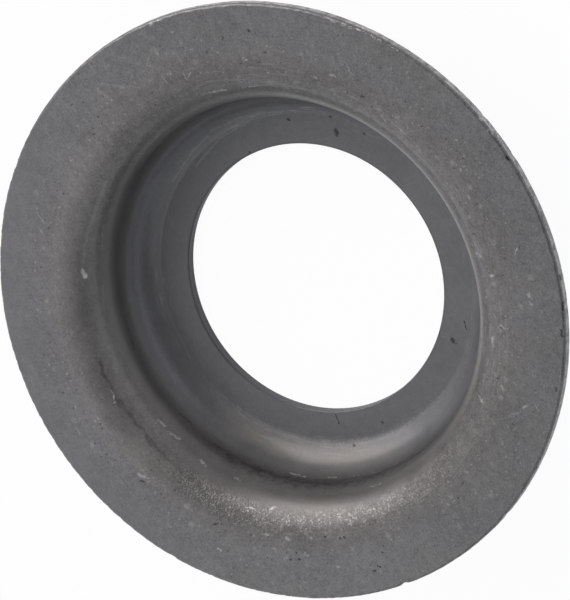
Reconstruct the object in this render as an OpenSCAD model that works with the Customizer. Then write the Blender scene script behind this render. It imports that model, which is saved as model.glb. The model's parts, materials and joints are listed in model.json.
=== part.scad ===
// Valve spring seat: a flanged cup drawn from one round blank of steel sheet, with a punched hole in its floor.
// The cup's mouth is up, and its floor stands on z = 0. Sizes are in millimetres.

/* [Sheet] */
// thickness of the sheet, the same in the flange, the wall and the floor
sheet = 0.7; // [0.5:0.05:0.9]

/* [Flange] */
// outside diameter of the flange
flange_d = 38; // [34:0.5:46]
// rounding of the flange's upper outer edge
rim_roll = 0.15; // [0.05:0.05:0.3]

/* [Cup] */
// inside diameter of the cup's straight wall
cup_d = 24.9; // [24:0.1:27]
// depth of the cup, from the flange's upper face to the floor
cup_depth = 5.8; // [5.6:0.1:10]
// radius of the fold between the flange and the wall, on the flange's underside
fold_r = 2.4; // [1:0.1:2.6]
// radius of the round between the wall and the floor, inside the cup
floor_r = 2.55; // [1:0.05:2.7]
// angle at which that round meets the flat floor, in degrees
floor_angle = 16; // [2:1:30]

/* [Guide hole] */
// diameter of the hole in the floor
hole_d = 17.3; // [12:0.1:20]
// rounding of the hole's upper edge
hole_roll = 0.1; // [0.05:0.05:0.3]

/* [Hidden] */
$fn = 96;
// radius of the fold on the flange's upper face
fold_top_r = fold_r + sheet;
// radius of the round on the floor's underside
floor_under_r = floor_r + sheet;
// inside face of the wall
wall_r = cup_d / 2;
// height of the flange's upper face
top = cup_depth + sheet;
// radius at which the fold meets the flat flange
fold_start = wall_r + fold_top_r;
// centre of the round between the wall and the floor
round_x = wall_r - floor_r;
round_z = sheet + floor_r * cos(floor_angle);
// radius at which the flat floor ends
floor_end = round_x + floor_r * sin(floor_angle);

// a quarter of a ring about the origin, in the quadrant that sx and sy point into
module quarter_ring(inner, outer, sx, sy) {
  intersection() {
    difference() {
      circle(r = outer);
      circle(r = inner);
    }
    translate([sx < 0 ? -outer : 0, sy < 0 ? -outer : 0])
      square(outer);
  }
}

// what an edge's rounding takes away at the corner above the origin, on the side that sx points to
module corner_waste(r, sx) {
  difference() {
    translate([sx < 0 ? -r : 0, 0])
      square(r);
    circle(r = r);
  }
}

// the flat flange, with its rounded upper edge
module flange_section() {
  difference() {
    translate([fold_start, top - sheet])
      square([flange_d / 2 - fold_start, sheet]);
    translate([flange_d / 2 - rim_roll, top - rim_roll])
      corner_waste(rim_roll, 1);
  }
}

// the fold and the straight wall under it
module wall_section() {
  translate([fold_start, top - fold_top_r])
    quarter_ring(fold_r, fold_top_r, -1, 1);
  translate([wall_r, round_z])
    square([sheet, top - fold_top_r - round_z]);
}

// the round under the wall, cut off flat where the part stands
module round_section() {
  intersection() {
    translate([round_x, round_z])
      quarter_ring(floor_r, floor_under_r, 1, -1);
    translate([round_x, 0])
      square([floor_under_r, round_z]);
  }
}

// the flat floor, with the hole's rounded upper edge
module floor_section() {
  difference() {
    translate([hole_d / 2, 0])
      square([floor_end - hole_d / 2, sheet]);
    translate([hole_d / 2 + hole_roll, sheet - hole_roll])
      corner_waste(hole_roll, -1);
  }
}

// the whole part: the sheet's section turned about the axis
module spring_seat() {
  color([0.41, 0.41, 0.42])
    rotate_extrude() {
      flange_section();
      wall_section();
      round_section();
      floor_section();
    }
}

spring_seat();
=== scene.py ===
# %% [markdown]
# # A valve spring seat in drawn sheet steel
# The part is a flanged cup that was drawn from one round blank, trimmed round its rim and punched in its
# floor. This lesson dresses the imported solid: it works out a finer skin with numpy, gives it a worn grey
# steel finish, and sets up the photograph's camera, a pale floor and soft light.

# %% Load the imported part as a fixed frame
import json

import bpy
import numpy as np
from mathutils import Matrix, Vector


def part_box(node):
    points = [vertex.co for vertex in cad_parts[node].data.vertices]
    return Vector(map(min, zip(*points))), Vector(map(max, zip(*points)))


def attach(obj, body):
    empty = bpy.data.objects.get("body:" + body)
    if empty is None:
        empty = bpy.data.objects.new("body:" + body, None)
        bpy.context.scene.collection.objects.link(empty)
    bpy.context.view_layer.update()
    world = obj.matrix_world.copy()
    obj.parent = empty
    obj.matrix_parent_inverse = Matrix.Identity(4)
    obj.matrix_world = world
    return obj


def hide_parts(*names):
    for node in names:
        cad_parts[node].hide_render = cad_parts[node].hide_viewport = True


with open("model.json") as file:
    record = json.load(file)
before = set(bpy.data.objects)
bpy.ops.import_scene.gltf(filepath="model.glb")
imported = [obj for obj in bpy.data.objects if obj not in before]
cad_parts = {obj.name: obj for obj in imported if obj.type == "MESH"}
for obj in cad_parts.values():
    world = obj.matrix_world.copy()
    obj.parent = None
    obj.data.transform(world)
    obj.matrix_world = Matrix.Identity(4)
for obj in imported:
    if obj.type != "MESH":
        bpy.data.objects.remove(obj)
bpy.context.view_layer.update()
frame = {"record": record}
scene = bpy.context.scene

# %% [markdown]
# ## Sizes
# The skin has to lie on the solid, so every size that the record states is read from its mounts, and only
# the roundings are written here. Lengths are in millimetres until the mesh is filled, because the sheet is
# under a millimetre thick.

# %% Read the sizes
MM = 0.001
mounts = {m["name"]: m for m in frame["record"]["mounts"]}
low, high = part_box("spring_seat")
rim_r = (high.x - low.x) / 2 / MM
top = mounts["head_face"]["pos_m"][2] / MM
sheet = top - mounts["spring_face"]["pos_m"][2] / MM
hole_r = mounts["guide_hole"]["dims"]["r_mm"]
hole_roll = sheet - mounts["guide_hole"]["dims"]["length_mm"]
wall_r = mounts["spring_pilot"]["dims"]["r_mm"] - sheet
fold_top_r = 2.4 + sheet
floor_r = 2.55
floor_angle = np.radians(16)
rim_roll = 0.15
broken_edge = 0.04
fold_start = wall_r + fold_top_r
round_x = wall_r - floor_r
round_z = sheet + floor_r * np.cos(floor_angle)
floor_end = round_x + floor_r * np.sin(floor_angle)
print(f"rim {rim_r:.2f}, sheet {sheet:.2f}, wall {wall_r:.2f}, hole {hole_r:.2f} mm")

# %% [markdown]
# ## The camera
# The rim and the hole are circles, so their ellipses in the photograph give the view: the line of sight
# leans thirty degrees from the part's axis, and the picture is rolled. The camera's three axes are written
# out from those two angles. It comes first because small wear marks are placed later by the pixel that
# shows them.

# %% Set up the camera
picture = (570, 600)
lean = np.radians(30.33)
roll = np.radians(145.17)
stand_off = 342 * MM
focal_pixels = 5602
aim_shift = np.array([-0.551, 0.341]) * MM

along = np.array([0, np.sin(lean), -np.cos(lean)])
right = np.array([-np.sin(roll), np.cos(lean) * np.cos(roll), np.sin(lean) * np.cos(roll)])
down = np.array([np.cos(roll), np.cos(lean) * np.sin(roll), np.sin(lean) * np.sin(roll)])
eye = np.array([0, 0, top * MM]) - stand_off * along - aim_shift[0] * right - aim_shift[1] * down


def placed(columns, at):
    """A 4 x 4 matrix whose first three columns are the given axes and whose last is the place."""
    return Matrix(np.vstack([np.column_stack(columns + [at]), [0, 0, 0, 1]]).tolist())


camera = bpy.data.objects.new("camera", bpy.data.cameras.new("camera"))
camera.data.sensor_fit = "HORIZONTAL"
sensor_mm = 36
camera.data.sensor_width = sensor_mm
camera.data.lens = focal_pixels * sensor_mm / picture[0]
camera.data.clip_start = 0.01
camera.matrix_world = placed([right, -down, -along], eye)
scene.collection.objects.link(camera)
scene.camera = camera
print("camera at", eye.round(4).tolist(), "with a lens of", round(camera.data.lens, 1), "mm")


def sight(x, y):
    """The ray through pixel (x, y): the axis plus right and down, by pixel offset over focal length."""
    across = (x - picture[0] / 2) / focal_pixels
    below = (y - picture[1] / 2) / focal_pixels
    return along + across * right + below * down


# %% [markdown]
# ## The sheet's section
# Cut through one side, the sheet is a closed outline: floor, round, short wall, fold, flange and back.
# A profile like this could be drawn as a curve and spun, but worked out as an array it carries a name for
# every stretch, which the wear and the cut faces need later. Points crowd towards the ends of the straight
# stretches, so that smooth shading stays crisp where the outline turns.

# %% Work out the section
def line(start, end, count):
    """Points from start to just before end: start plus the chord times a fraction eased by a cosine."""
    u = 0.5 - 0.5 * np.cos(np.pi * np.arange(count) / count)
    return np.array(start) + np.outer(u, np.subtract(end, start))


def arc(centre, radius, first, last, count):
    """Points on a circle: centre plus radius times cosine and sine of even angles, without the last."""
    turn = np.radians(np.linspace(first, last, count, endpoint=False))
    return np.array(centre) + radius * np.stack([np.cos(turn), np.sin(turn)], 1)


under_r = floor_r + sheet
under_start = -np.degrees(np.arcsin(round_z / under_r))
under_x = round_x + under_r * np.cos(np.radians(under_start))
fold_centre = (fold_start, top - fold_top_r)
round_centre = (round_x, round_z)
stretches = [
    ("floor_under", line((hole_r + broken_edge, 0), (under_x, 0), 6)),
    ("round_under", arc(round_centre, under_r, under_start, 0, 10)),
    ("wall_out", line((wall_r + sheet, round_z), (wall_r + sheet, top - fold_top_r), 2)),
    ("fold_under", arc(fold_centre, fold_top_r - sheet, 180, 90, 9)),
    ("flange_under", line((fold_start, top - sheet), (rim_r - broken_edge, top - sheet), 6)),
    ("rim_break", arc((rim_r - broken_edge, top - sheet + broken_edge), broken_edge, -90, 0, 2)),
    ("rim", line((rim_r, top - sheet + broken_edge), (rim_r, top - rim_roll), 6)),
    ("rim_roll", arc((rim_r - rim_roll, top - rim_roll), rim_roll, 0, 90, 6)),
    ("flange", line((rim_r - rim_roll, top), (fold_start, top), 16)),
    ("fold", arc(fold_centre, fold_top_r, 90, 180, 20)),
    ("wall", line((wall_r, top - fold_top_r), (wall_r, round_z), 2)),
    ("round", arc(round_centre, floor_r, 0, np.degrees(floor_angle) - 90, 18)),
    ("floor", line((floor_end, sheet), (hole_r + hole_roll, sheet), 9)),
    ("hole_roll", arc((hole_r + hole_roll, sheet - hole_roll), hole_roll, 90, 180, 6)),
    ("hole", line((hole_r, sheet - hole_roll), (hole_r, broken_edge), 4)),
    ("hole_break", arc((hole_r + broken_edge, broken_edge), broken_edge, 180, 270, 2)),
]
section = np.concatenate([points for _, points in stretches])
stretch_of = np.concatenate([[name] * len(points) for name, points in stretches])
run = np.concatenate([[0], np.cumsum(np.hypot(*np.diff(section, axis=0).T))])
print("section:", len(section), "points in", len(stretches), "stretches,", round(run[-1], 1), "mm round")

# %% [markdown]
# ## Turning the section, with its trimmed edge
# The press leaves a true body of revolution, but trimming doesn't: the sheared rim wanders by a hundredth
# of a millimetre and has a few nicks. So the surface is a function of two parameters, the place along the
# section and the angle about the axis, and the nicks pull the rim inwards, never outside the solid's box.
# Each nick is named and stands at the angle of the pixel that shows it.

# %% Turn it about the axis
turns = 800
angle = np.linspace(0, 2 * np.pi, turns, endpoint=False)
rng = np.random.default_rng(7)


def wander(first_wave, last_wave, falloff=1.0):
    """A closed random line of spread 1: cosines of whole wave numbers, random in phase, weaker if finer."""
    waves = np.arange(first_wave, last_wave)
    phase = rng.uniform(0, 2 * np.pi, len(waves))
    size = rng.uniform(0.4, 1.0, len(waves)) * (first_wave / waves) ** falloff
    total = (size[:, None] * np.cos(np.outer(waves, angle) + phase[:, None])).sum(0)
    return total / total.std()


def dip(pixel, half_width):
    """A dent along the rim: a Gaussian of the distance along the arc from the pixel's angle."""
    ray = sight(*pixel)
    x, y, _ = eye + ray * (top * MM - eye[2]) / ray[2]
    apart = (angle - np.arctan2(y, x) + np.pi) % (2 * np.pi) - np.pi
    return np.exp(-((apart * rim_r / half_width) ** 2))


rim_nicks = {
    "bottom_notch": ((404, 584), 0.11, 0.24),
    "lower_left_step": ((172, 555), 0.05, 0.20),
    "right_burr_root": ((504, 517), 0.05, 0.18),
    "left_nick": ((18, 167), 0.04, 0.20),
    "right_notch": ((484, 115), 0.06, 0.16),
    "right_chip": ((509, 157), 0.05, 0.18),
}
rim_loss = 0.010 + 0.004 * wander(9, 60) + 0.003 * wander(60, 260, 0.5)
for pixel, depth, half_width in rim_nicks.values():
    rim_loss = rim_loss + depth * dip(pixel, half_width)
rim_loss = np.clip(rim_loss, 0, None)
ragged = 0.018 * np.abs(wander(30, 300, 0.4))

radius, height = section[:, :1], section[:, 1:]
near_rim = np.clip((radius - (rim_r - 0.8)) / 0.7, 0, 1) ** 2
on_roll = np.isin(stretch_of, ["rim_roll"])[:, None]
on_flange = np.clip((radius - wall_r) / (rim_r - wall_r), 0, 1)
slow_wave = np.minimum(0.005 * (wander(2, 6) - 2.5) * on_flange, 0)
r = radius - near_rim * rim_loss - on_roll * ragged * 0.5
z = height + slow_wave - on_roll * ragged
skin = np.stack([r * np.cos(angle), r * np.sin(angle), z], 2) * MM
print("skin:", skin.shape[:2], "points; rim drawn in by up to", round(float(rim_loss.max()), 3), "mm")

# %% [markdown]
# ## From the grid to a mesh
# The grid closes on itself both ways, like a ring doughnut, so each face joins a point with its next
# neighbours modulo the grid's size, and no seam or pole is left open. Going round first and along the
# section second makes the faces point out of the steel.

# %% Fill the mesh
def closed_mesh(name, points):
    """A mesh from a grid that closes both ways: quads of a point, its neighbour round, both, and along."""
    rows, columns = points.shape[:2]
    index = np.arange(rows * columns).reshape(rows, columns)
    around = np.roll(index, -1, 1)
    quads = np.stack([index, around, np.roll(around, -1, 0), np.roll(index, -1, 0)], 2).reshape(-1, 4)
    mesh = bpy.data.meshes.new(name)
    mesh.vertices.add(rows * columns)
    mesh.vertices.foreach_set("co", points.astype(np.float32).ravel())
    mesh.loops.add(quads.size)
    mesh.loops.foreach_set("vertex_index", quads.astype(np.int32).ravel())
    mesh.polygons.add(len(quads))
    mesh.polygons.foreach_set("loop_start", np.arange(0, quads.size, 4, dtype=np.int32))
    mesh.update(calc_edges=True)
    mesh.polygons.foreach_set("use_smooth", np.ones(len(quads), bool))
    obj = bpy.data.objects.new(name, mesh)
    scene.collection.objects.link(obj)
    return obj


seat = closed_mesh("pressed_seat", skin)
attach(seat, "root")
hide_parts("spring_seat")
print("pressed_seat:", len(seat.data.polygons) * 2, "triangles")

# %% [markdown]
# ## What the press did, and where light is painted, point by point
# The finish needs to know where the sheet was rubbed on the fold, where it was ironed smooth by the punch,
# where it was sheared and where an oil film stayed. Some bands say where light and shade are painted into
# the colour instead: painted shade in the crease and beside the near lip, a painted highlight on the near
# lip, a warm tint painted where the highlight falls on the round, and parts of the fold, round, floor and
# flange painted lighter or darker on one side. These bands follow the section, so each is one number per
# section point, copied round its circle and stored as an attribute. A band's place is its distance in
# millimetres along the section from the fold, the wall or the floor's edge.

# %% Store the attributes
bands = []


def store(name, per_point):
    """Writes one value per section point to every point of its circle, and notes the band's name."""
    values = np.repeat(np.asarray(per_point, np.float32), turns)
    seat.data.attributes.new(name, "FLOAT", "POINT").data.foreach_set("value", values)
    bands.append(name)


def hump(middle, half_width):
    """A bell along the section: a Gaussian of the distance from the middle, in mm of run."""
    return np.exp(-((run - middle) / half_width) ** 2)


def plateau(start, full, keep, end):
    """A flat-topped bell: an S-curve up from start to full, times an S-curve down from keep to end."""
    up = np.clip((run - start) / (full - start), 0, 1)
    fall = np.clip((end - run) / (end - keep), 0, 1)
    return up * up * (3 - 2 * up) * fall * fall * (3 - 2 * fall)


fold_edge = run[stretch_of == "fold"][0]
wall_run = run[stretch_of == "wall"].mean()
floor_edge_run = run[stretch_of == "floor"][0]
hole_edge_run = run[stretch_of == "hole"][0]
hole_end_run = run[stretch_of == "hole_break"][-1]
up_face = np.isin(stretch_of, ["flange", "fold", "wall", "round", "floor", "hole_roll", "rim_roll"])
store("run", run)
store("rubbed", plateau(fold_edge + 0.4, fold_edge + 1.3, fold_edge + 1.8, fold_edge + 2.4))
store("near_fold", up_face * hump(fold_edge - 0.2, 2.6))
store("oiled", plateau(fold_edge - 1.0, fold_edge + 0.6, wall_run + 0.4, wall_run + 1.4))
store("dragged", plateau(fold_edge - 0.4, fold_edge + 0.6, fold_edge + 2.2, fold_edge + 3.0))
store("cup_floor", plateau(wall_run + 0.6, wall_run + 1.8, hole_end_run, hole_end_run + 0.1))
store("ironed", plateau(fold_edge + 3.0, fold_edge + 4.2, hole_end_run, hole_end_run + 0.1))
store("smeared", plateau(fold_edge + 2.0, fold_edge + 2.7, hole_edge_run, hole_edge_run + 0.1))
store("sheared_rim", np.isin(stretch_of, ["rim", "rim_break"]))
store("punched", np.isin(stretch_of, ["hole_roll", "hole", "hole_break"]))
# Painted shade: the crease round the wall's foot is darkened in the colour.
store("crease_shade", up_face * hump(wall_run - 0.2, 1.2))
store("floor_edge", up_face * hump(floor_edge_run - 0.2, 0.6))
# Painted highlight: the floor's edge, lightened and glinting on the lit side.
store("edge_line", up_face * hump(floor_edge_run - 0.05, 0.2))
# Painted highlight tint: the band of the round where the softbox's highlight falls.
store("round_highlight_tint", up_face * hump(floor_edge_run - 1.0, 0.9))
# Painted shade: a line beside the lip, darkened on the near side only.
store("lip_shade_line", up_face * hump(fold_edge + 2.35, 0.15))
# Painted highlight: a light band along the lip, used on the near side.
store("lip", plateau(fold_edge + 2.55, fold_edge + 2.75, fold_edge + 3.6, fold_edge + 4.0))
# These bands carry painted light and shade: parts of the fold, round, floor and flange painted lighter or
# darker on one side.
store("lower_fold", plateau(fold_edge + 2.7, fold_edge + 3.2, wall_run + 1.2, wall_run + 2.0))
store("round_belly", up_face * hump(floor_edge_run - 1.5, 0.8))
store("round_shade_band", up_face * hump(floor_edge_run - 0.65, 0.35))
flat_flange = plateau(fold_edge - 9.0, fold_edge - 8.0, fold_edge - 0.6, fold_edge)
store("flat_flange", (stretch_of == "flange") * flat_flange)
store("flat_floor", plateau(floor_edge_run - 0.6, floor_edge_run, hole_end_run, hole_end_run + 0.1))
print("attributes:", *bands)

# %% [markdown]
# ## Helpers for the finish
# A finish is a tree of nodes. Small helpers keep the tree readable as sums and products: one adds a node,
# one does arithmetic, one rescales a value, one makes noise whose size is given in millimetres, and one
# does vector arithmetic. The material starts with the place in millimetres and with every stored band.

# %% Define the helpers
def add(tree, kind, links=None, **settings):
    """Adds one node, sets its properties or input values by name, and links inputs to output sockets."""
    node = tree.nodes.new(kind)
    for key, value in settings.items():
        if key in node.inputs:
            node.inputs[key].default_value = value
        else:
            setattr(node, key, value)
    for key, socket in (links or {}).items():
        tree.links.new(socket, node.inputs[key])
    return node


def calc(tree, operation, first, second=0.0):
    """One arithmetic step on two values, each a number or an output socket."""
    node = add(tree, "ShaderNodeMath", operation=operation)
    for slot, value in enumerate((first, second)):
        if isinstance(value, bpy.types.NodeSocket):
            tree.links.new(value, node.inputs[slot])
        else:
            node.inputs[slot].default_value = value
    return node.outputs[0]


def rescale(tree, value, start, end, low_value=0.0, high_value=1.0):
    """Maps start..end to low..high along an S-curve, held at both ends."""
    node = add(tree, "ShaderNodeMapRange", {"Value": value}, interpolation_type="SMOOTHSTEP", clamp=False)
    node.inputs["From Min"].default_value = start
    node.inputs["From Max"].default_value = end
    node.inputs["To Min"].default_value = low_value
    node.inputs["To Max"].default_value = high_value
    return node.outputs["Result"]


def noise(tree, place, size_mm, detail=3.0, roughness=0.6):
    """Fractal noise whose largest lumps are about size_mm across, on a place given in mm."""
    links = {"Vector": place}
    return add(tree, "ShaderNodeTexNoise", links, Scale=1 / size_mm, Detail=detail, Roughness=roughness)


def vector(tree, operation, first, second=None, **settings):
    """One step of vector arithmetic on output sockets or plain vectors."""
    node = add(tree, "ShaderNodeVectorMath", {0: first}, operation=operation, **settings)
    if isinstance(second, bpy.types.NodeSocket):
        tree.links.new(second, node.inputs[1])
    elif second is not None:
        node.inputs[1].default_value = second
    return node.outputs["Value" if operation in ("DOT_PRODUCT", "DISTANCE") else "Vector"]


steel = bpy.data.materials.new("drawn_steel")
steel.use_nodes = True
tree = steel.node_tree
shader = tree.nodes["Principled BSDF"]
object_place = add(tree, "ShaderNodeTexCoord").outputs["Object"]
place = vector(tree, "SCALE", object_place, Scale=1 / MM)
press = {}
for name in bands:
    press[name] = add(tree, "ShaderNodeAttribute", attribute_name=name).outputs["Fac"]
print("helpers ready, material", steel.name)

# %% [markdown]
# ## Grey sheet, its grain and its stains
# The sheet is a dull grey with no paint on it. Rolled sheet has a fine grain, which is both a bump and a
# speckle. The punch ironed the cup's inside, so the grain is weaker there, and one side of the flange is
# handled smoother than the other. Slower noise gives the faint clouds of handling and oil.

# %% Grey, clouds and grain
cloud_mm = 2.6
mottle_mm = 0.5
grain_mm = 0.13
cloud = noise(tree, place, cloud_mm, 4.0, 0.62).outputs["Fac"]
mottle = noise(tree, place, mottle_mm, 4.0, 0.8).outputs["Fac"]
grain = noise(tree, place, grain_mm, 1.0, 0.7).outputs["Fac"]
outward = vector(tree, "NORMALIZE", vector(tree, "MULTIPLY", place, (1, 1, 0)))


def toward(x, y):
    """How much a point lies towards (x, y) from the axis: the cosine of the angle between the two."""
    return vector(tree, "DOT_PRODUCT", outward, (x, y, 0.0))


# The side where the softbox's highlight falls on the fold and round. The painted glints and painted shade
# follow it, and so does the smoother, pressed grain.
rubbed_and_lit_side = toward(-0.87, 0.5)
smooth_side = vector(tree, "DOT_PRODUCT", place, (0.4, 0.92, 0.0))
grain_left = rescale(tree, smooth_side, 8.0, 16.0, 1.0, 0.55)
grain_left = calc(tree, "MAXIMUM", grain_left, press["near_fold"])
pressed = calc(tree, "MULTIPLY", press["smeared"], rescale(tree, rubbed_and_lit_side, 0.5, 0.95))
pressed = calc(tree, "MAXIMUM", press["ironed"], pressed)
grain_left = calc(tree, "MULTIPLY", grain_left, rescale(tree, pressed, 0, 1, 1.0, 0.32))
speckle = rescale(tree, grain, 0.25, 0.75, -0.15, 0.15)
uneven = calc(tree, "ADD", rescale(tree, mottle, 0.2, 0.8, -0.22, 0.22), speckle)
shade = calc(tree, "MULTIPLY", uneven, grain_left)
shade = calc(tree, "ADD", shade, rescale(tree, cloud, 0.3, 0.7, -0.08, 0.08))
shade = calc(tree, "ADD", shade, rescale(tree, smooth_side, 8.0, 16.0, 1.0, 1.06))
torn = calc(tree, "MULTIPLY", press["sheared_rim"], rescale(tree, mottle, 0.35, 0.62, 0.3, 1.7))
shade = calc(tree, "MULTIPLY", shade, calc(tree, "ADD", torn, 1.0))
# Painted shade: the punched hole edge is darkened, which dims the highlight and the floor that it mirrors.
shade = calc(tree, "MULTIPLY", shade, rescale(tree, press["punched"], 0, 1, 1.0, 0.82))
relief = calc(tree, "MULTIPLY", grain, grain_left)
print("grain and clouds:", len(tree.nodes), "nodes")

# %% [markdown]
# ## Streaks along the fold
# Stacked and shaken with its kind, the part is scuffed most on the fold and on the edge of the flat floor,
# in fine streaks that run round the axis. Noise on plain coordinates can't follow a circle, so the streaks
# read the direction from the axis, which has no seam, together with the stored run along the section: slow
# round the circle and quick across it. On the fold the tops of the grain are rubbed bare. Where the side
# softbox's highlight falls, on the fold and at the floor's edge, they are painted as bright glints.

# %% Streaks, rubbed metal and painted glints
stretched = vector(tree, "SCALE", outward, Scale=9.0)
lift = add(tree, "ShaderNodeCombineXYZ", {"Z": calc(tree, "MULTIPLY", press["run"], 9.0)}).outputs[0]
streak = noise(tree, vector(tree, "ADD", stretched, lift), 1.0, 3.0, 0.65).outputs["Fac"]
streaked = rescale(tree, streak, 0.54, 0.70)
patch_mm = 3.5
patchy = rescale(tree, noise(tree, place, patch_mm, 3.0, 0.6).outputs["Fac"], 0.38, 0.60)
dragged = calc(tree, "MULTIPLY", press["dragged"], rescale(tree, smooth_side, -4.0, 6.0, 1.0, 0.2))
on_streaks = calc(tree, "MAXIMUM", dragged, press["floor_edge"])
dark_streak = calc(tree, "MULTIPLY", rescale(tree, streak, 0.46, 0.32), dragged)
scuff = calc(tree, "MULTIPLY", calc(tree, "MULTIPLY", streaked, on_streaks), patchy)
# Painted glints: bright grains placed where the softbox's highlight falls on the rubbed fold and at the
# floor's edge, on partly real bare grain tops.
rubbed_lit_band = calc(tree, "MULTIPLY", press["rubbed"], rescale(tree, rubbed_and_lit_side, 0.58, 0.98, 0.08, 1.0))
lit_floor_edge = calc(tree, "MULTIPLY", press["edge_line"], rescale(tree, rubbed_and_lit_side, 0.60, 0.90))
glint_zone = calc(tree, "MAXIMUM", rubbed_lit_band, calc(tree, "MULTIPLY", lit_floor_edge, 0.7))
painted_sparkle = calc(tree, "MULTIPLY", rescale(tree, grain, 0.49, 0.67), glint_zone)
painted_sparkle = calc(tree, "MULTIPLY", painted_sparkle, rescale(tree, mottle, 0.44, 0.56, 0.05, 1.0))
print("streaks:", len(tree.nodes), "nodes")

# %% [markdown]
# ## Flecks, pits and hairlines
# Everywhere on the upper side there are light flecks, tiny dark pits and short hairline scratches, most of
# them near the fold. They are random, so they come from Voronoi cells: a cell's middle is one fleck, most
# cells are dropped by their random colour, and stretching the coordinates first turns dots into hairlines.
# A little noise added to the place makes the dots ragged.

# %% Random flecks
shake_mm = 0.22
shake_reach = 0.28
shake = noise(tree, place, shake_mm, 2.0, 0.6).outputs["Color"]
shake = vector(tree, "SCALE", vector(tree, "SUBTRACT", shake, (0.5, 0.5, 0.5)), Scale=shake_reach)
shaken = vector(tree, "ADD", place, shake)


def flecks(cell_mm, size_mm, share, turn_deg=0.0, long=1.0):
    """A mask of random dots: near a Voronoi cell's middle, for the share of cells that is kept."""
    turned = add(tree, "ShaderNodeMapping", {"Vector": shaken})
    turned.inputs["Rotation"].default_value = (0, 0, np.radians(turn_deg))
    turned.inputs["Scale"].default_value = (1 / long, 1, 1)
    cells = add(tree, "ShaderNodeTexVoronoi", {"Vector": turned.outputs[0]}, Scale=1 / cell_mm)
    near = rescale(tree, cells.outputs["Distance"], size_mm / cell_mm, 0.6 * size_mm / cell_mm)
    pick = add(tree, "ShaderNodeSeparateColor", {0: cells.outputs["Color"]}).outputs[0]
    return calc(tree, "MULTIPLY", near, calc(tree, "LESS_THAN", pick, share))


fleck_level = calc(tree, "MULTIPLY", rescale(tree, press["near_fold"], 0, 1, 0.4, 1.0), grain_left)
in_patches = calc(tree, "ADD", calc(tree, "MULTIPLY", patchy, 0.6), 0.6)
fleck_level = calc(tree, "MULTIPLY", fleck_level, in_patches)
light_flecks = calc(tree, "MULTIPLY", flecks(0.38, 0.085, 0.45), fleck_level)
hairlines = calc(tree, "MAXIMUM", flecks(0.6, 0.055, 0.5, 25, 9), flecks(0.7, 0.055, 0.5, -52, 12))
hairlines = calc(tree, "MULTIPLY", hairlines, fleck_level)
pits = calc(tree, "MULTIPLY", flecks(0.42, 0.08, 0.45, 15), fleck_level)
rub_level = calc(tree, "MULTIPLY", press["near_fold"], grain_left)
rubs = calc(tree, "MULTIPLY", flecks(0.8, 0.2, 0.5, 40, 1.4), rub_level)
rubs = calc(tree, "MULTIPLY", rubs, rescale(tree, mottle, 0.42, 0.56, 0.1, 1.0))
print("flecks:", len(tree.nodes), "nodes")

# %% [markdown]
# ## The marks that can be named
# Some marks are this part's own, in five groups: bright chips, bare scratches, faint lines, dark pits and
# cracks, and dirt in the creases. The dirt group also holds a painted reflection: a dark line on the fold's
# shoulder, where it mirrors a dark thing. Each is a short capsule, the points within a width in millimetres
# of a line between two spots. The spots are found by sending the camera's ray through a pixel onto the
# skin, so a mark lies on the steel from any side. Noise added to the place makes the marks stray and break
# up.

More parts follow.
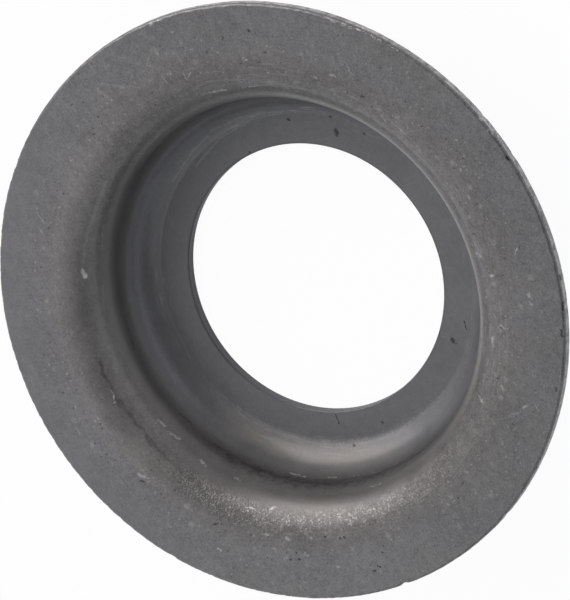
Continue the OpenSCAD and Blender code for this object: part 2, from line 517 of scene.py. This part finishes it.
# %% Place the named marks
bright_marks = {
    "left_chip": ((83, 271), (85, 277), 0.19),
    "low_left_hook_end": ((114, 396), (115, 402), 0.08),
    "low_flange_dot": ((218, 549), (220, 550), 0.12),
    "right_fold_dot": ((479, 396), (482, 400), 0.10),
}
bare_marks = {
    "low_left_scratch_a": ((157, 418), (164, 426), 0.14),
    "low_left_scratch_b": ((168, 432), (180, 439), 0.13),
    "v_scratch_left": ((184, 72), (187, 81), 0.05),
    "v_scratch_right": ((191, 71), (187, 81), 0.05),
    "top_scuff_a": ((203, 94), (212, 92), 0.08),
    "top_scuff_b": ((213, 92), (226, 90), 0.11),
    "top_scuff_c": ((243, 87), (264, 86), 0.05),
    "top_curl": ((265, 97), (276, 102), 0.05),
    "top_tick": ((286, 96), (287, 102), 0.05),
    "top_fleck_a": ((313, 76), (316, 78), 0.12),
    "top_fleck_b": ((330, 75), (335, 76), 0.08),
    "top_fleck_c": ((343, 92), (345, 92), 0.09),
    "top_fleck_d": ((243, 59), (247, 60), 0.10),
    "top_fleck_e": ((169, 32), (174, 33), 0.06),
    "top_rim_scuff_a": ((330, 20), (345, 25), 0.10),
    "top_rim_scuff_b": ((349, 27), (358, 30), 0.10),
    "top_rim_scuff_c": ((372, 36), (381, 41), 0.09),
    "top_rim_scuff_d": ((393, 47), (397, 50), 0.09),
    "upper_left_rim_scuff": ((150, 24), (160, 21), 0.12),
    "comma_head": ((137, 474), (145, 477), 0.12),
    "comma_tail": ((146, 477), (158, 478), 0.08),
    "low_left_hook_a": ((106, 388), (113, 393), 0.08),
    "low_left_hook_b": ((113, 393), (115, 402), 0.10),
    "left_flange_curl": ((80, 368), (86, 382), 0.05),
    "fold_spot_low": ((201, 461), (206, 466), 0.14),
    "fold_dash_a": ((245, 507), (255, 509), 0.08),
    "fold_dash_b": ((270, 509), (277, 506), 0.10),
    "fold_dot_low": ((235, 514), (236, 514), 0.10),
    "low_flange_fleck_a": ((305, 554), (308, 556), 0.12),
    "low_flange_fleck_b": ((338, 567), (341, 568), 0.10),
    "low_flange_fleck_c": ((286, 538), (289, 540), 0.12),
    "low_flange_fleck_d": ((264, 535), (268, 535), 0.10),
    "low_flange_fleck_e": ((308, 540), (311, 538), 0.10),
    "crease_chip_a": ((235, 478), (241, 481), 0.10),
    "crease_chip_b": ((291, 473), (305, 477), 0.11),
    "crease_chip_c": ((329, 477), (336, 478), 0.12),
    "crease_chip_d": ((353, 476), (375, 472), 0.05),
    "crease_chip_e": ((371, 487), (381, 484), 0.06),
    "right_rim_chip": ((479, 118), (481, 120), 0.10),
    "right_rim_scuff": ((489, 131), (497, 138), 0.12),
    "right_fold_speck_a": ((468, 196), (470, 198), 0.12),
    "right_fold_speck_b": ((477, 253), (481, 257), 0.14),
    "right_fold_speck_c": ((491, 276), (494, 276), 0.16),
    "right_fold_dash": ((492, 338), (493, 345), 0.18),
    "right_flange_curl": ((517, 248), (515, 255), 0.08),
    "right_flange_patch": ((529, 294), (531, 303), 0.16),
    "right_fold_speck_d": ((486, 297), (488, 299), 0.12),
    "right_fold_speck_e": ((501, 325), (504, 328), 0.14),
    "right_fold_speck_f": ((501, 386), (503, 390), 0.12),
    "right_flange_speck": ((523, 408), (526, 405), 0.10),
}
dark_marks = {
    "floor_pit_big": ((336, 130), (337, 135), 0.16),
    "floor_pit_left": ((288, 119), (289, 120), 0.12),
    "floor_pit_mid": ((330, 117), (331, 117), 0.11),
    "floor_pit_right": ((364, 133), (365, 134), 0.08),
    "floor_slit": ((464, 321), (467, 330), 0.07),
    "floor_dot": ((452, 340), (453, 341), 0.20),
    "floor_dot_tail": ((453, 341), (458, 345), 0.05),
    "floor_dot_small": ((450, 318), (451, 319), 0.06),
    "floor_dot_low": ((382, 422), (383, 423), 0.12),
    "round_dot_low": ((354, 445), (355, 446), 0.12),
    "hole_crack_top": ((334, 409), (336, 415), 0.05),
    "hole_crack_low": ((336, 415), (339, 424), 0.07),
    "hole_edge_dot": ((249, 152), (250, 152), 0.09),
    "top_flange_smudge": ((361, 96), (364, 97), 0.08),
    "comma_pit": ((141, 481), (143, 481), 0.10),
    "low_flange_tick": ((213, 525), (219, 523), 0.07),
    "top_pit_right": ((247, 29), (249, 31), 0.10),
    "top_pit_left": ((222, 37), (224, 38), 0.09),
    "rim_pit_right": ((507, 157), (509, 160), 0.10),
    "low_flange_pit_a": ((290, 560), (291, 560), 0.10),
    "low_flange_pit_b": ((299, 559), (300, 560), 0.10),
    "low_flange_pit_c": ((296, 552), (297, 553), 0.08),
    "low_flange_pit_d": ((374, 571), (376, 571), 0.11),
    "low_flange_pit_e": ((378, 566), (380, 567), 0.09),
    "low_flange_pit_f": ((325, 536), (326, 537), 0.09),
    "low_flange_pit_g": ((344, 537), (345, 537), 0.08),
    "low_flange_pit_h": ((382, 552), (383, 553), 0.08),
    "rim_notch_a": ((560, 275), (561, 279), 0.12),
    "rim_notch_b": ((563, 303), (563, 309), 0.13),
    "rim_notch_c": ((561, 330), (562, 336), 0.13),
    "rim_notch_d": ((556, 388), (556, 391), 0.10),
}
faint_marks = {
    "left_scuff_top": ((106, 182), (97, 206), 0.20),
    "left_scuff_mid": ((97, 206), (88, 232), 0.18),
    "left_scuff_low": ((87, 234), (83, 262), 0.16),
    "left_line": ((103, 225), (102, 250), 0.08),
    "left_line_low": ((103, 285), (105, 312), 0.08),
    "floor_edge_scratch_a": ((210, 131), (239, 118), 0.09),
    "floor_edge_scratch_b": ((239, 118), (262, 112), 0.09),
    "floor_edge_scratch_c": ((262, 113), (283, 112), 0.08),
    "floor_edge_scratch_d": ((220, 138), (250, 121), 0.08),
    "floor_edge_scratch_e": ((190, 155), (208, 136), 0.08),
    "floor_edge_scratch_f": ((172, 182), (190, 155), 0.08),
    "floor_edge_scratch_g": ((196, 166), (220, 138), 0.10),
    "top_arc_a": ((205, 82), (240, 79), 0.08),
    "top_arc_b": ((240, 79), (290, 86), 0.06),
    "top_line": ((180, 60), (186, 70), 0.06),
    "upper_left_line_a": ((98, 84), (140, 88), 0.06),
    "upper_left_line_b": ((146, 66), (152, 48), 0.08),
    "upper_left_patch": ((98, 90), (107, 97), 0.16),
    "low_right_line": ((505, 418), (520, 412), 0.08),
}
dirt_and_reflection_marks = {
    # shoulder_line: a painted reflection, a dark line where the fold's shoulder mirrors a dark thing. The
    # crease bits are dirt.
    "shoulder_line_a": ((97, 357), (106, 375), 0.20),
    "shoulder_line_b": ((106, 375), (117, 399), 0.13),
    "shoulder_line_c": ((117, 399), (131, 416), 0.17),
    "shoulder_line_d": ((131, 416), (143, 430), 0.19),
    "shoulder_line_e": ((143, 430), (154, 444), 0.21),
    "shoulder_line_f": ((154, 444), (167, 456), 0.17),
    "shoulder_line_g": ((167, 456), (185, 474), 0.12),
    "crease_bit_a": ((180, 413), (190, 423), 0.24),
    "crease_bit_b": ((215, 443), (228, 455), 0.20),
    "crease_bit_c": ((243, 462), (262, 469), 0.18),
    "crease_bit_d": ((300, 481), (318, 483), 0.16),
    "crease_bit_e": ((128, 330), (135, 348), 0.18),
}
bpy.context.view_layer.update()


def spot(pixel):
    """Where the camera's ray through a pixel meets the skin, in mm."""
    found, where, _, _ = seat.ray_cast(eye.tolist(), sight(*pixel).tolist())
    assert found, pixel
    return np.array(where) / MM


def capsule_group():
    """A node group: one within a width of a line, zero away from it, by the distance to the line."""
    group = bpy.data.node_groups.new("capsule_mark", "ShaderNodeTree")
    for key in ("Place", "Start", "Span"):
        group.interface.new_socket(key, in_out="INPUT", socket_type="NodeSocketVector")
    group.interface.new_socket("Width", in_out="INPUT", socket_type="NodeSocketFloat")
    group.interface.new_socket("Mask", in_out="OUTPUT", socket_type="NodeSocketFloat")
    given = group.nodes.new("NodeGroupInput").outputs
    apart = vector(group, "SUBTRACT", given["Place"], given["Start"])
    reach = vector(group, "DOT_PRODUCT", apart, given["Span"])
    own = vector(group, "DOT_PRODUCT", given["Span"], given["Span"])
    part = calc(group, "MAXIMUM", calc(group, "DIVIDE", reach, own), 0.0)
    part = calc(group, "MINIMUM", part, 1.0)
    foot = add(group, "ShaderNodeVectorMath", {0: given["Span"], "Scale": part}, operation="SCALE")
    gap = vector(group, "DISTANCE", apart, foot.outputs[0])
    ratio = calc(group, "DIVIDE", gap, given["Width"])
    leave = group.nodes.new("NodeGroupOutput")
    group.links.new(rescale(group, ratio, 1.0, 0.35), leave.inputs["Mask"])
    return group


capsule = capsule_group()


def mark_mask(marks, where):
    """The largest of all the capsules' masks, on a place given in mm."""
    total = 0.0
    for start, end, width in marks.values():
        node = add(tree, "ShaderNodeGroup", node_tree=capsule)
        tree.links.new(where, node.inputs["Place"])
        node.inputs["Start"].default_value = spot(start)
        node.inputs["Span"].default_value = spot(end) - spot(start) + 1e-4
        node.inputs["Width"].default_value = width
        total = calc(tree, "MAXIMUM", total, node.outputs["Mask"])
    return total


stray_mm = 0.9
drift = noise(tree, place, stray_mm, 3.0, 0.6).outputs["Color"]
drift = vector(tree, "SCALE", vector(tree, "SUBTRACT", drift, (0.5, 0.5, 0.5)), Scale=stray_mm)
strayed = vector(tree, "ADD", place, drift)
strayed_little = vector(tree, "ADD", shaken, vector(tree, "SCALE", drift, Scale=0.3))
bare = mark_mask(bare_marks, strayed_little)
bare = calc(tree, "MULTIPLY", bare, rescale(tree, mottle, 0.40, 0.55, 0.05, 1.0))
dark = mark_mask(dark_marks, shaken)
faint = mark_mask(faint_marks, shaken)
bright = mark_mask(bright_marks, strayed_little)
bright = calc(tree, "MULTIPLY", bright, rescale(tree, mottle, 0.38, 0.54, 0.15, 1.0))
dirt_and_reflection = mark_mask(dirt_and_reflection_marks, strayed)
dirt_and_reflection = calc(tree, "MULTIPLY", dirt_and_reflection, rescale(tree, mottle, 0.38, 0.58, 0.1, 1.0))
print("named marks:", *(len(m) for m in (bright_marks, bare_marks, faint_marks, dark_marks, dirt_and_reflection_marks)))

# %% [markdown]
# ## Putting the finish together
# The grey is tinted by stains, warm where oil stayed on the fold. The cup gets a bluer, slightly darker
# grey, a painted cool shade, and the round a warm tint painted where the softbox's highlight falls. The
# grey is then multiplied by the clouds, by painted shade in the crease, beside the near lip and on the lit
# band of the fold, and by bands painted lighter or darker on one side as light falls. It is lightened by
# scuffs and flecks, by painted glints and a painted highlight on the near lip, and darkened by pits and a
# painted dark reflection on the fold's shoulder. The metal is only partly clean: a dull film scatters some
# light, so it isn't fully metallic, and a thin coat of oil adds a soft shine. Scratches shine more than the
# sheet.

# %% Join colour, roughness and bump
cool_grey = (0.151, 0.152, 0.158)
cool_shade_grey = (0.146, 0.149, 0.157)
violet_grey = (0.151, 0.149, 0.160)
warm_grey = (0.159, 0.152, 0.146)
warm_highlight_grey = (0.160, 0.153, 0.147)
bare_and_highlight_grey = (0.44, 0.438, 0.43)
chip_grey = (0.62, 0.61, 0.60)
pit_and_dark_reflection_grey = (0.018, 0.018, 0.018)


def blend(factor, first, second):
    """A mix of two colours, each a colour or an output socket."""
    node = add(tree, "ShaderNodeMix", data_type="RGBA")
    tree.links.new(factor, node.inputs[0])
    for slot, value in ((6, first), (7, second)):
        if isinstance(value, bpy.types.NodeSocket):
            tree.links.new(value, node.inputs[slot])
        else:
            node.inputs[slot].default_value = (*value, 1)
    return node.outputs[2]


def strongest(parts):
    """The largest of several masks, each times its weight."""
    total = 0.0
    for mask, weight in parts:
        total = calc(tree, "MAXIMUM", total, calc(tree, "MULTIPLY", mask, weight))
    return total


stained = calc(tree, "MULTIPLY", patchy, rescale(tree, smooth_side, 4.0, 14.0, 0.35, 0.05))
grey = blend(stained, cool_grey, warm_grey)
grey = blend(rescale(tree, smooth_side, 9.0, 16.0, 0.0, 0.7), grey, violet_grey)
# Painted shade: the cup's floor and round get a bluer, slightly darker grey for the cool shade inside the
# cup.
grey = blend(press["cup_floor"], grey, cool_shade_grey)
grey = blend(calc(tree, "MULTIPLY", press["oiled"], 0.75), grey, warm_grey)
# Painted highlight tint: the round is tinted warm, in cloudy patches, where the side softbox's warm
# highlight falls.
round_highlight_side = toward(-0.77, 0.64)
round_highlight_tint = calc(tree, "MULTIPLY", press["round_highlight_tint"], rescale(tree, round_highlight_side, 0.78, 0.98))
round_highlight_tint = calc(tree, "MULTIPLY", round_highlight_tint, rescale(tree, cloud, 0.36, 0.56, 0.3, 1.0))
grey = blend(round_highlight_tint, grey, warm_highlight_grey)
# Painted shade: the crease is darkened, more on one side, in blotches from the mottle. The dark streaks
# added below are real.
crease_shade_side = toward(-1.0, 0.0)
painted_shade_and_streaks = calc(tree, "MULTIPLY", press["crease_shade"], rescale(tree, crease_shade_side, 0.0, 0.95, 0.06, 0.68))
painted_shade_and_streaks = calc(tree, "MULTIPLY", painted_shade_and_streaks, rescale(tree, mottle, 0.35, 0.65, 0.6, 1.4))
# Painted shade: the lit, rubbed band of the fold is darkened, which dims the highlight there.
painted_shade_and_streaks = calc(tree, "ADD", painted_shade_and_streaks, calc(tree, "MULTIPLY", rubbed_lit_band, 0.26))
painted_shade_and_streaks = calc(tree, "ADD", painted_shade_and_streaks, calc(tree, "MULTIPLY", dark_streak, 0.14))
near_side = rescale(tree, toward(0.0, -1.0), 0.45, 0.8)
# Painted shade: a dark line beside the lip on the near side.
lip_shade = calc(tree, "MULTIPLY", press["lip_shade_line"], near_side)
painted_shade_and_streaks = calc(tree, "ADD", painted_shade_and_streaks, calc(tree, "MULTIPLY", lip_shade, 0.24))
shade = calc(tree, "MULTIPLY", shade, calc(tree, "SUBTRACT", 1.0, painted_shade_and_streaks))
# Painted highlight: the lip is lightened on the near side, where it turns away from the camera.
lip = calc(tree, "MULTIPLY", press["lip"], near_side)
lip = calc(tree, "MULTIPLY", lip, rescale(tree, mottle, 0.36, 0.56, 0.4, 1.0))
# Painted light and shade: each band below is lightened or darkened on one side as light falls. The round's
# middle is a painted shade that shapes its highlight.
left_side = rescale(tree, toward(0.57, 0.82), 0.3, 0.85)
upper_side = rescale(tree, toward(0.9, -0.44), 0.6, 0.95)
top_left_side = rescale(tree, toward(0.98, 0.17), 0.5, 0.9)
low_side = rescale(tree, rubbed_and_lit_side, 0.75, 0.95)
lowest_side = rescale(tree, rubbed_and_lit_side, 0.82, 1.0)
low_right_side = rescale(tree, crease_shade_side, 0.7, 0.95)
painted_light_bands = [
    ("dragged", left_side, 0.16),
    ("round_belly", left_side, 0.30),
    ("flat_floor", left_side, -0.14),
    ("lower_fold", top_left_side, -0.20),
    ("dragged", upper_side, -0.16),
    ("edge_line", low_side, 0.35),
    ("round_shade_band", low_side, -0.14),
    ("lower_fold", low_right_side, -0.12),
    ("flat_flange", lowest_side, 0.12),
]
painted_light_tone = 1.0
for band, side, amount in painted_light_bands:
    change = calc(tree, "MULTIPLY", calc(tree, "MULTIPLY", press[band], side), amount)
    painted_light_tone = calc(tree, "ADD", painted_light_tone, change)
shade = calc(tree, "MULTIPLY", shade, painted_light_tone)
shaded = add(tree, "ShaderNodeVectorMath", {0: grey, "Scale": shade}, operation="SCALE").outputs[0]
random_wear = strongest([(light_flecks, 0.30), (hairlines, 0.42), (rubs, 0.26), (scuff, 0.30)])
placed_wear_and_highlights = strongest([(painted_sparkle, 0.42), (bare, 0.62), (faint, 0.14), (lip, 0.2)])
light_wear_and_highlights = calc(tree, "MAXIMUM", random_wear, placed_wear_and_highlights)
# The dark marks include the painted dark reflection on the fold's shoulder.
dark_wear_and_reflection = strongest([(pits, 0.6), (dark, 0.85), (dirt_and_reflection, 0.48)])
worn_with_highlights = blend(bright, blend(light_wear_and_highlights, shaded, bare_and_highlight_grey), chip_grey)
colour = blend(dark_wear_and_reflection, worn_with_highlights, pit_and_dark_reflection_grey)
tree.links.new(colour, shader.inputs["Base Color"])

bare_metal_share = 0.58
oil_weight = 0.25
oil_roughness = 0.16
grain_depth = 0.024 * MM
dull = rescale(tree, press["ironed"], 0, 1, 0.46, 0.49)
dull = calc(tree, "ADD", rescale(tree, cloud, 0.3, 0.7, -0.04, 0.04), dull)
dull = calc(tree, "SUBTRACT", dull, calc(tree, "MULTIPLY", light_wear_and_highlights, 0.12))
tree.links.new(dull, shader.inputs["Roughness"])
shader.inputs["Metallic"].default_value = bare_metal_share
shader.inputs["Coat Weight"].default_value = oil_weight
shader.inputs["Coat Roughness"].default_value = oil_roughness

bump = add(tree, "ShaderNodeBump", {"Height": relief}, Strength=1.0, Distance=grain_depth)
tree.links.new(bump.outputs["Normal"], shader.inputs["Normal"])
seat.data.materials.append(steel)
print("finish:", len(tree.nodes), "nodes")

# %% [markdown]
# ## The floor
# The photograph has a plain white ground. The floor is a flat white disc under the part. The camera sees it
# almost as plain white, with a small share of its lit surface, which keeps the part's shadow; glossy steel
# sees a larger share of the lit surface, so the shade inside the hole still darkens the wall above it.

# %% Make the floor
def flat_disc(name, disc_r, rings, spokes):
    """A flat disc: rings of points at radius times cosine and sine of the angle, closed at the middle."""
    around = np.linspace(0, 2 * np.pi, spokes, endpoint=False)
    out = np.linspace(disc_r / rings, disc_r, rings)
    x = np.outer(out, np.cos(around))
    y = np.outer(out, np.sin(around))
    circles = np.stack([x, y, np.zeros_like(x)], 2)
    points = np.concatenate([[[0, 0, 0]], circles.reshape(-1, 3)])
    index = 1 + np.arange(rings * spokes).reshape(rings, spokes)
    inner, outer = index[:-1], index[1:]
    quads = np.stack([inner, outer, np.roll(outer, -1, 1), np.roll(inner, -1, 1)], 2).reshape(-1, 4)
    middle = np.stack([np.zeros(spokes, int), index[0], np.roll(index[0], -1)], 1)
    mesh = bpy.data.meshes.new(name)
    mesh.from_pydata(points.tolist(), [], middle.tolist() + quads.tolist())
    obj = bpy.data.objects.new(name, mesh)
    scene.collection.objects.link(obj)
    return obj


white_to_camera = 0.96
white_to_gloss = 0.4
floor = flat_disc("floor", disc_r=1.5, rings=6, spokes=48)
pale = bpy.data.materials.new("pale_floor")
pale.use_nodes = True
ground = pale.node_tree
ground.nodes.clear()
seen = add(ground, "ShaderNodeLightPath").outputs
to_camera = calc(ground, "MAXIMUM", seen["Is Camera Ray"], seen["Is Transmission Ray"])
to_camera = calc(ground, "MULTIPLY", to_camera, white_to_camera)
to_gloss = calc(ground, "MULTIPLY", seen["Is Glossy Ray"], white_to_gloss)
share = calc(ground, "MAXIMUM", to_camera, to_gloss)
lit = add(ground, "ShaderNodeBsdfDiffuse", Color=(0.85, 0.85, 0.85, 1))
white = add(ground, "ShaderNodeEmission", Color=(1, 1, 1, 1), Strength=1.0)
mixed = add(ground, "ShaderNodeMixShader", {0: share, 1: lit.outputs[0], 2: white.outputs[0]})
add(ground, "ShaderNodeOutputMaterial", {"Surface": mixed.outputs[0]})
floor.data.materials.append(pale)
print("floor:", len(floor.data.polygons), "faces")

# %% [markdown]
# ## Light
# Dull steel is seen mostly by what it mirrors. The two bright bands of the photograph say where the main
# softbox stands: to the side, about thirty-five degrees up, and close, since the near side of the flange is
# brighter. Two weaker softboxes fill from above, and the room is bright near the horizon and dim overhead.

# %% Set up the light
scene.view_settings.view_transform = "Standard"
room = bpy.data.worlds.new("soft_room")
scene.world = room
room.use_nodes = True
sky = room.node_tree
sky.nodes.clear()
heading = add(sky, "ShaderNodeTexCoord").outputs["Generated"]
axes = add(sky, "ShaderNodeSeparateXYZ", {0: heading}).outputs
glow = rescale(sky, axes["Z"], 0.0, 0.6, 1.9, 0.0)
glow = calc(sky, "MULTIPLY", glow, rescale(sky, axes["X"], 0.1, 0.9, 1.0, 0.1))
dim_side = vector(sky, "DOT_PRODUCT", heading, (-1.0, 0.0, 0.0))
glow = calc(sky, "MULTIPLY", glow, rescale(sky, dim_side, 0.3, 0.8, 1.0, 0.62))
level = calc(sky, "ADD", glow, rescale(sky, axes["Z"], 0.6, 0.95, 0.0, 0.20))
dome = add(sky, "ShaderNodeBackground", {"Strength": level}, Color=(0.965, 0.985, 1.045, 1))
add(sky, "ShaderNodeOutputWorld", {"Surface": dome.outputs[0]})


def softbox(name, heading_deg, elevation_deg, distance, size, watts, tint=(1, 1, 1)):
    """An area lamp at a distance in a direction from the part, turned to face it."""
    h = np.radians(heading_deg)
    e = np.radians(elevation_deg)
    toward = np.array([np.cos(e) * np.cos(h), np.cos(e) * np.sin(h), np.sin(e)])
    side = np.array([-np.sin(h), np.cos(h), 0.0])
    lamp = bpy.data.lights.new(name, "AREA")
    lamp.shape = "RECTANGLE"
    lamp.size, lamp.size_y = size
    lamp.energy = watts
    lamp.color = tint
    obj = bpy.data.objects.new(name, lamp)
    obj.matrix_world = placed([side, np.cross(toward, side), toward], toward * distance)
    scene.collection.objects.link(obj)
    return obj


softbox("side_softbox", 6, 34, 0.3, (0.28, 0.24), 0.93, (1.0, 0.958, 0.94))
softbox("far_softbox", 92, 48, 0.24, (0.28, 0.19), 0.118)
softbox("low_softbox", 158, 54, 0.5, (0.45, 0.45), 0.38)
